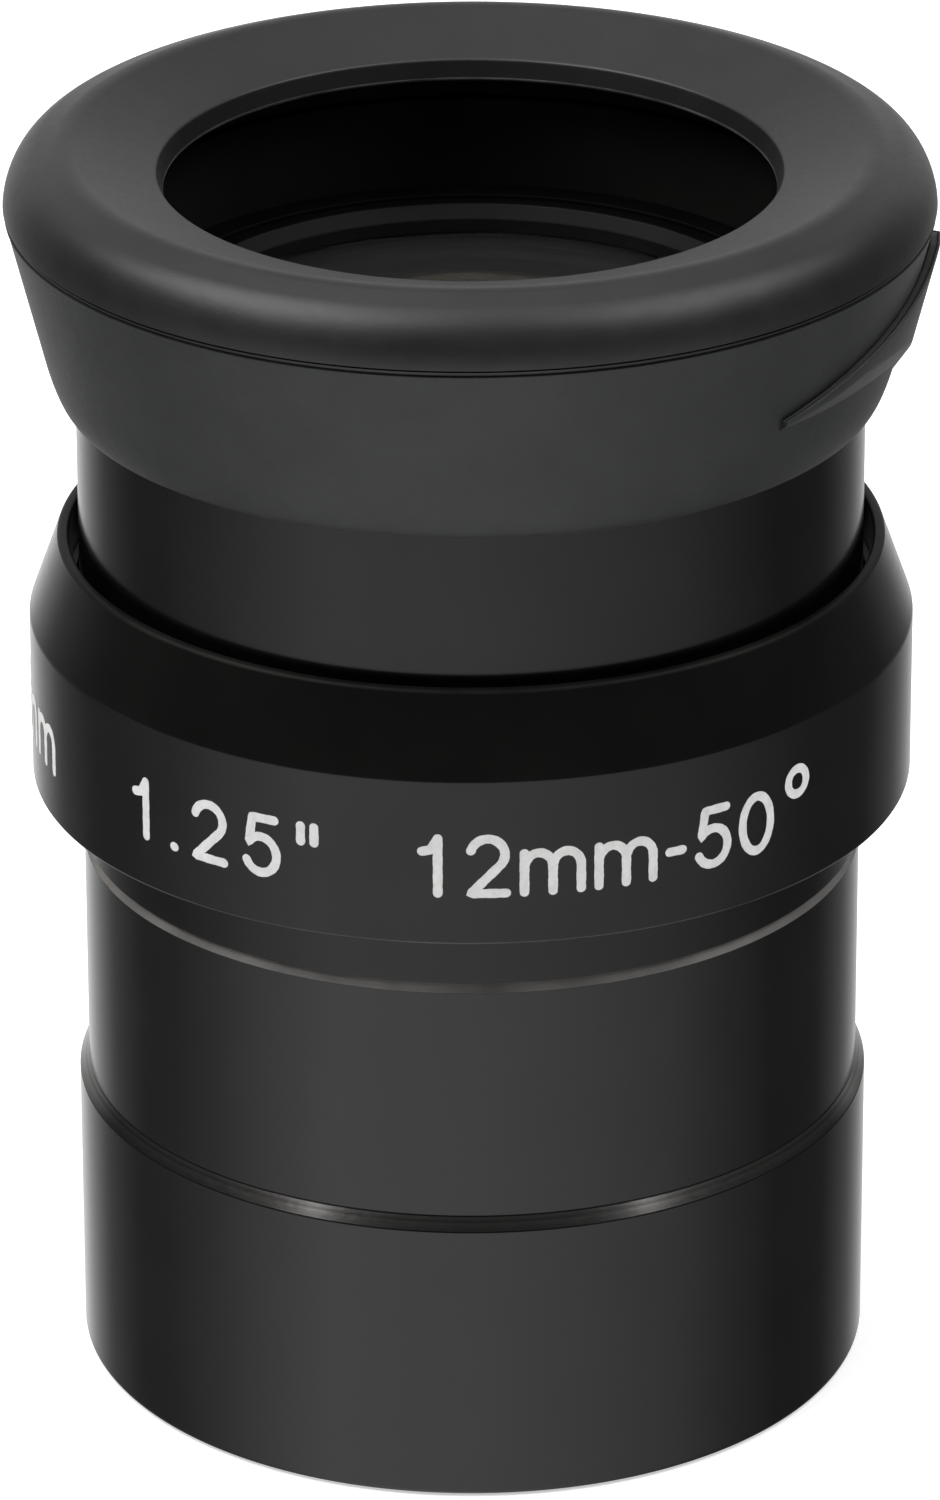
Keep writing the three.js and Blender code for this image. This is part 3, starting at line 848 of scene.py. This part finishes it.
def build_wing():
    """The raised leaf on one side of the skirt, its sections swept round the axis and closed at both tips."""
    width_deg = WING_RISE_DEG + WING_PEAK_DEG + WING_FALL_DEG
    steps = round(width_deg / WING_STEP_DEG)
    vertices = []
    for k in range(steps + 1):
        along = WING_STEP_DEG * k
        rising = along / WING_RISE_DEG
        falling = (width_deg - along) / WING_FALL_DEG
        section = wing_section(min(1, rising, falling))
        out = direction(math.radians(WING_START_DEG + along))
        vertices += [(out.x * radius, out.y * radius, z) for radius, z in section]
    made = link("eyecup_wing", vertices, swept_faces(len(section), steps))
    shade(made, 40)
    finish_piece(made, TURNING, "eyecup_rubber", [RUBBER_SKIRT], "rubber_eyecup")


# ---- Guide screws ----


def build_guide_screws():
    """Each pin keeps its CAD shape and gets the steel finish."""
    for node in ("guide_screw_right", "guide_screw_left"):
        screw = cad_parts[node]
        screw.data.materials.clear()
        screw.data.materials.append(STEEL)


# ---- Figures on the collar ----


def arc(centre, radii, start_deg, end_deg, steps=14):
    """Points of an elliptical arc; 0 degrees points right and 90 up."""
    points = []
    for k in range(steps + 1):
        angle = math.radians(start_deg + (end_deg - start_deg) * k / steps)
        points.append((centre[0] + radii[0] * math.cos(angle), centre[1] + radii[1] * math.sin(angle)))
    return points


def arch(left, right, shoulder, top):
    """One arch of an m, from the left stem over to the foot of the right stem."""
    middle = (left + right) / 2
    return arc((middle, shoulder), ((right - left) / 2, top - shoulder), 165, 0) + [(right, 0)]


H = FIGURE_HEIGHT
X = 0.71 * H  # height of an m

# Each figure: its width and its strokes, drawn on stroke centres from its lower left corner.
FIGURES = {
    "0": (1.4, [arc((0.7, H / 2), (0.7, H / 2), 90, 450, 36)]),
    "1": (1.15, [[(0.05, 0.76 * H), (0.36, 0.79 * H), (0.62, 0.97 * H)], [(0.65, 0), (0.65, H)]]),
    "2": (1.4, [arc((0.7, 0.71 * H), (0.66, 0.29 * H), 165, -38) + [(0.05, 0), (1.4, 0)]]),
    "3": (
        1.3,
        [
            arc((0.62, 0.755 * H), (0.58, 0.245 * H), 160, -90),
            arc((0.62, 0.27 * H), (0.66, 0.27 * H), 80, -155),
        ],
    ),
    "5": (
        1.35,
        [[(1.25, H), (0.3, H), (0.14, 0.52 * H)] + arc((0.65, 0.33 * H), (0.68, 0.33 * H), 130, -155, 20)],
    ),
    "7": (1.4, [[(0, H), (1.4, H), (1.08, 0.72 * H), (0.75, 0.36 * H), (0.55, 0)]]),
    "m": (2.2, [[(0, 0), (0, X)], arch(0, 1.1, 0.62 * X, X), arch(1.1, 2.2, 0.62 * X, X)]),
    "-": (0.55, [[(0, 0.4 * H), (0.55, 0.4 * H)]]),
    ".": (0.05, [[(0, 0.02), (0.05, 0.02)]]),
    '"': (0.55, [[(0, H), (0, 0.72 * H)], [(0.55, H), (0.55, 0.72 * H)]]),
    "o": (1.0, [arc((0.75, 0.99 * H), (0.5, 0.53), 90, 450, 28)]),
}


def resampled(path, spacing=0.05):
    """The same path with points about `spacing` apart."""
    points = [Vector(path[0])]
    for a, b in zip(path, path[1:]):
        a, b = Vector(a), Vector(b)
        pieces = max(1, round((b - a).length / spacing))
        points += [a.lerp(b, k / pieces) for k in range(1, pieces + 1)]
    return points


def ribbon(path, seed):
    """Left and right edges of a round-ended stroke, whose width wavers a little as hand-filled paint does."""
    points = resampled(path)
    closed = (points[0] - points[-1]).length < 1e-6
    half = STROKE_WIDTH / 2
    left = []
    right = []
    last = len(points) - 1
    for i, point in enumerate(points):
        before = points[i - 1] if i else (points[-2] if closed else points[0])
        after = points[i + 1] if i < last else (points[1] if closed else points[-1])
        along = (after - before).normalized()
        across = Vector((-along.y, along.x))
        slow_wave = 0.035 * math.sin(0.455 * i + seed)
        quick_wave = 0.025 * math.sin(1.185 * i + 2.3 * seed)
        waver = 1 + slow_wave + quick_wave
        left.append(point + across * half * waver)
        right.append(point - across * half * waver)
    if not closed:
        left, right = round_end(points[1], points[0], left, right, True)
        left, right = round_end(points[-2], points[-1], left, right, False)
    return left, right


def round_end(inside, tip, left, right, at_start, steps=6):
    """Adds a half circle beyond one end of a stroke to its two edges."""
    out = (tip - inside).normalized()
    half = STROKE_WIDTH / 2
    side = Vector((-out.y, out.x))
    fan_left = []
    fan_right = []
    for k in range(1, steps + 1):
        angle = math.pi / 2 * k / steps
        reach = tip + out * half * math.sin(angle)
        width = side * half * math.cos(angle)
        fan_left.append(reach + width)
        fan_right.append(reach - width)
    if at_start:
        return fan_right[::-1] + left, fan_left[::-1] + right
    return left + fan_left, right + fan_right


def add_stroke(vertices, faces, left, right, shift, top_radius):
    """Adds one stroke to a mesh: a thin raised band on the collar, `shift` millimetres round it."""
    root_radius = WALL_RADIUS - STROKE_ROOT
    first = len(vertices)
    for edge_l, edge_r in zip(left, right):
        corners = ((edge_l, root_radius), (edge_l, top_radius), (edge_r, top_radius), (edge_r, root_radius))
        for edge, radius in corners:
            out = direction((shift + edge.x) / WALL_RADIUS) * radius
            vertices.append((out.x, out.y, FIGURE_FOOT_Z + edge.y))
    for k in range(len(left) - 1):
        here = first + 4 * k
        for side in range(3):
            faces.append([here + side, here + side + 1, here + side + 5, here + side + 4])


def write_figures(name, text, start_deg, gap=LETTER_GAP):
    """Wraps a line of figures round the collar, its left end at start_deg. Strokes that cross lie at slightly
    different heights, so that their faces never coincide."""
    vertices = []
    faces = []
    shift = math.radians(start_deg) * WALL_RADIUS
    layer = 0
    for figure in text:
        width, strokes = FIGURES[figure]
        for path in strokes:
            left, right = ribbon(path, 1.7 * layer)
            top_radius = WALL_RADIUS + STROKE_PROUD + 0.0012 * (layer % 3)
            add_stroke(vertices, faces, left, right, shift, top_radius)
            layer += 1
        shift += width + gap
    made = link(name, vertices, faces)
    made.data.materials.append(PAINT)
    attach(made, FIXED)


# ---- Studio ----

# Brightness of the studio's lower half, as mirrors see it, from the back (-180 degrees) round by the left,
# the front (0) and the right.
LOWER_HALF = (
    (-180, 1.1),
    (-160, 0.9),
    (-150, 0.62),
    (-135, 0.25),
    (-115, 0.13),
    (-100, 0.19),
    (-82, 0.42),
    (-62, 0.85),
    (-42, 1.25),
    (0, 1.2),
    (35, 0.93),
    (60, 0.66),
    (80, 0.32),
    (100, 0.11),
    (125, 0.08),
    (145, 0.24),
    (162, 0.6),
    (180, 0.95),
)
LOWER_HALF_TOP = 1.3  # the ramp holds shares of this
LIGHT_DISTANCE = 0.6  # from the object's middle to each softbox, in metres


def build_floor():
    """A pale floor with a faint glow of its own, which mirrors don't see."""
    surface = Surface("studio_floor", Roughness=0.85)
    surface.shader.inputs["Emission Color"].default_value = (1, 1, 1, 1)
    surface.shader.inputs["Emission Strength"].default_value = 0.52
    surface.colours(surface.noise(3, 3), [(0.3, grey(0.84)), (0.7, grey(0.86))])
    surface.bump((surface.noise(900, 3), 2e-5))
    half = 4000
    corners = [(-half, -half, 0), (half, -half, 0), (half, half, 0), (-half, half, 0)]
    made = link("studio_floor", corners, [[0, 1, 2, 3]])
    made.location.z = cad_box[0].z - 0.05 * MM
    made.data.materials.append(surface.material)
    made.visible_glossy = False


def softbox(name, azimuth_deg, elevation_deg, width, height, radiance):
    """A rectangular studio light of a given brightness that faces the object's middle. Metres."""
    middle = (cad_box[0] + cad_box[1]) / 2
    elevation = math.radians(elevation_deg)
    level = direction(math.radians(azimuth_deg)) * math.cos(elevation)
    spot = middle + (level + Vector((0, 0, math.sin(elevation)))) * LIGHT_DISTANCE
    light = bpy.data.lights.new(name, "AREA")
    light.shape = "RECTANGLE"
    light.size = width
    light.size_y = height
    light.energy = radiance * math.pi * width * height
    made = bpy.data.objects.new(name, light)
    bpy.context.scene.collection.objects.link(made)
    made.location = spot
    made.rotation_mode = "QUATERNION"
    made.rotation_quaternion = (middle - spot).to_track_quat("-Z", "Y")


class World(Surface):
    """The same node helpers, on the surroundings."""

    def __init__(self):
        self.world = bpy.data.worlds.new("studio")
        self.world.use_nodes = True
        self.tree = self.world.node_tree
        self.tree.nodes.clear()

    def direction(self):
        return self.add("TexCoord").outputs["Generated"]


def build_world():
    """The surroundings. The camera sees a pale backdrop. Mirrors see LOWER_HALF below the horizon, and
    above it a dim room with a paler back wall."""
    world = World()
    x, y, z = world.add("SeparateXYZ", Vector=world.direction()).outputs
    turn = world.math("ARCTAN2", x, world.math("MULTIPLY", y, -1.0))
    share = world.add("MapRange", Value=turn, From_Min=-math.pi, From_Max=math.pi).outputs["Result"]
    stops = [((deg + 180) / 360, level / LOWER_HALF_TOP) for deg, level in LOWER_HALF]
    below = world.math("MULTIPLY", world.ramp(share, stops), LOWER_HALF_TOP)
    above = world.between(y, 0.5, 0.95, 0.055, 0.72)
    is_above = world.between(z, -0.06, 0.02, 0.0, 1.0)
    difference = world.math("SUBTRACT", above, below)
    level = world.math("ADD", below, world.math("MULTIPLY", is_above, difference))
    surroundings = world.add("Background", Color=level)
    backdrop = world.add("Background", Color=(0.92, 0.92, 0.92, 1))
    seen = world.add("LightPath").outputs["Is Camera Ray"]
    mix = world.add("MixShader", Fac=seen)
    world.tree.links.new(surroundings.outputs[0], mix.inputs[1])
    world.tree.links.new(backdrop.outputs[0], mix.inputs[2])
    world.add("OutputWorld", Surface=mix.outputs[0])
    bpy.context.scene.world = world.world


def build_camera():
    """The photograph's viewpoint: a long lens a little above the object, on its -Y side."""
    elevation = math.radians(24.327)
    distance = 359.6 * MM
    target = Vector((-0.061, 0, 25.084)) * MM
    roll = math.radians(-0.152)
    forward = Vector((0, math.cos(elevation), -math.sin(elevation)))
    right = Vector((1, 0, 0))
    up = right.cross(forward)
    tilted_right = right * math.cos(roll) + up * math.sin(roll)
    tilted_up = up * math.cos(roll) - right * math.sin(roll)
    camera = bpy.data.cameras.new("camera")
    camera.sensor_width = 36
    camera.lens = 216.55
    camera.clip_start = 0.01
    camera.clip_end = 20
    made = bpy.data.objects.new("camera", camera)
    bpy.context.scene.collection.objects.link(made)
    turn = Matrix((tilted_right, tilted_up, -forward)).transposed()
    made.matrix_world = Matrix.Translation(target - forward * distance) @ turn.to_4x4()
    bpy.context.scene.camera = made


build_barrel()
build_collar()
build_sleeve()
build_housing()
build_rings()
build_glide_ring()
build_lenses()
build_guide_screws()
build_eyecup()
build_wing()
write_figures("figures_barrel_size", '1.25"', -48, gap=1.0)
write_figures("figures_focal_length", "12mm-50o", -6.4)
write_figures("figures_edge", "31.7mm", -108)

build_floor()
softbox("key_left", -78, 58, 0.55, 0.42, 5)
softbox("key_right", 80, 55, 0.5, 0.4, 3.4)
softbox("overhead", 180, 76, 0.4, 0.4, 1.1)
build_world()
build_camera()
bpy.context.scene.view_settings.view_transform = "Standard"
